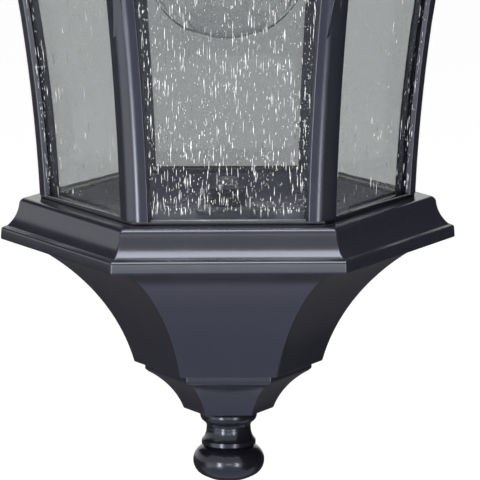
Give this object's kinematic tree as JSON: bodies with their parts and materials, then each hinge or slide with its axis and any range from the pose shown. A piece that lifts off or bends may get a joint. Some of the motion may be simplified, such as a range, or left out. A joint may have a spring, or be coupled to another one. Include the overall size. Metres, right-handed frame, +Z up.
{
  "type": "outdoor wall lantern",
  "caption": "Hexagonal wall lantern on a swan-neck arm: flared cage of seeded glass panels, moulded base with concave bowl and turned finial, lamp hanging base-up under a concave roof.",
  "frame": {"origin": "middle of the crossbar's slots, on the wall plane", "axes": "+Z up, +Y into the wall, the lantern hangs on the -Y side with one flat side facing -Y"},
  "size_m": [0.222, 0.2411, 0.4009],
  "materials": {
    "cast_black": "satin black paint on die-cast aluminium",
    "turned_black": "semi-gloss black paint",
    "arm_black": "satin black paint on aluminium tube",
    "pan_black": "satin black paint on sheet steel",
    "seeded_glass": "clear seeded glass",
    "lamp_clear": "clear lamp glass",
    "zinc_steel": "zinc-plated steel",
    "dark_nut": "dark steel",
    "brass": "plain brass",
    "lamp_cap_metal": "plated sheet",
    "ground_green": "green screw",
    "phenolic": "moulded phenolic",
    "bushing_plastic": "white plastic bushing",
    "gasket_rubber": "foam rubber gasket",
    "tungsten": "tungsten and nickel wire"
  },
  "bodies": {
    "wall_side": {"roof_cornice": "cast_black", "roof": "cast_black", "roof_crown": "cast_black", "arm_hub": "cast_black", "backplate": "cast_black", "arm_flange": "cast_black", "arm": "arm_black", "cornice_screws": "zinc_steel", "flange_screws": "zinc_steel", "crossbar": "zinc_steel", "fixture_studs": "zinc_steel", "stud_nuts": "zinc_steel", "lamp_pipe": "zinc_steel", "pipe_locknuts": "zinc_steel", "screw_shell": "brass", "centre_contact": "brass", "lampholder_cap": "lamp_cap_metal", "ground_screw": "ground_green", "lampholder": "phenolic", "wire_bushing": "bushing_plastic", "backplate_gasket": "gasket_rubber"},
    "cage": {"base_moulding": "cast_black", "base_pan": "pan_black", "bowl": "cast_black", "cup": "cast_black", "tie_rod": "zinc_steel", "hex_nut": "dark_nut", "fender_washer": "zinc_steel", "lock_strap": "zinc_steel", "bottom_rail": "cast_black", "top_rail": "cast_black", "foot_screws": "zinc_steel", "head_screws": "zinc_steel", "post_1": "cast_black", "post_2": "cast_black", "post_3": "cast_black", "post_4": "cast_black", "post_5": "cast_black", "post_6": "cast_black", "glass_1": "seeded_glass", "glass_2": "seeded_glass", "glass_3": "seeded_glass", "glass_4": "seeded_glass", "glass_5": "seeded_glass", "glass_6": "seeded_glass"},
    "lamp": {"lamp_glass": "lamp_clear", "lamp_cap": "lamp_cap_metal", "lamp_insulator": "phenolic", "lamp_contact": "lamp_cap_metal", "lamp_stem": "lamp_clear", "filament": "tungsten"},
    "bottom_finial_body": {"bottom_finial": "turned_black"},
    "top_finial_body": {"top_finial": "turned_black"},
    "cap_nut_upper_body": {"cap_nut_upper": "turned_black"},
    "cap_nut_lower_body": {"cap_nut_lower": "turned_black"},
    "thumb_screw_1_body": {"thumb_screw_1": "turned_black"},
    "thumb_screw_2_body": {"thumb_screw_2": "turned_black"},
    "thumb_screw_3_body": {"thumb_screw_3": "turned_black"}
  },
  "joints": [
    {"name": "cage_drop", "type": "slide", "parent": "wall_side", "child": "cage", "axis": [0, 0, -1], "range_m": [0, 0.12]},
    {"name": "lamp_screw", "type": "hinge", "parent": "wall_side", "child": "lamp", "pos_m": [0, -0.138, -0.061], "axis": [0, 0, 1], "continuous": true},
    {"name": "bottom_finial_turn", "type": "hinge", "parent": "cage", "child": "bottom_finial_body", "pos_m": [0, -0.138, -0.2694], "axis": [0, 0, 1], "continuous": true},
    {"name": "top_finial_turn", "type": "hinge", "parent": "wall_side", "child": "top_finial_body", "pos_m": [0, -0.138, 0.0961], "axis": [0, 0, 1], "continuous": true},
    {"name": "thumb_screw_1_turn", "type": "hinge", "parent": "wall_side", "child": "thumb_screw_1_body", "pos_m": [0.08288, -0.09015, -0.0151], "axis": [0.866, 0.5, 0], "continuous": true},
    {"name": "thumb_screw_2_turn", "type": "hinge", "parent": "wall_side", "child": "thumb_screw_2_body", "pos_m": [-0.08288, -0.09015, -0.0151], "axis": [-0.866, 0.5, 0], "continuous": true},
    {"name": "thumb_screw_3_turn", "type": "hinge", "parent": "wall_side", "child": "thumb_screw_3_body", "pos_m": [0, -0.2337, -0.0151], "axis": [0, -1, 0], "continuous": true},
    {"name": "cap_nut_upper_turn", "type": "hinge", "parent": "wall_side", "child": "cap_nut_upper_body", "pos_m": [0, -0.0236, 0.064], "axis": [0, -1, 0], "continuous": true},
    {"name": "cap_nut_lower_turn", "type": "hinge", "parent": "wall_side", "child": "cap_nut_lower_body", "pos_m": [0, -0.0236, -0.064], "axis": [0, -1, 0], "continuous": true}
  ]
}
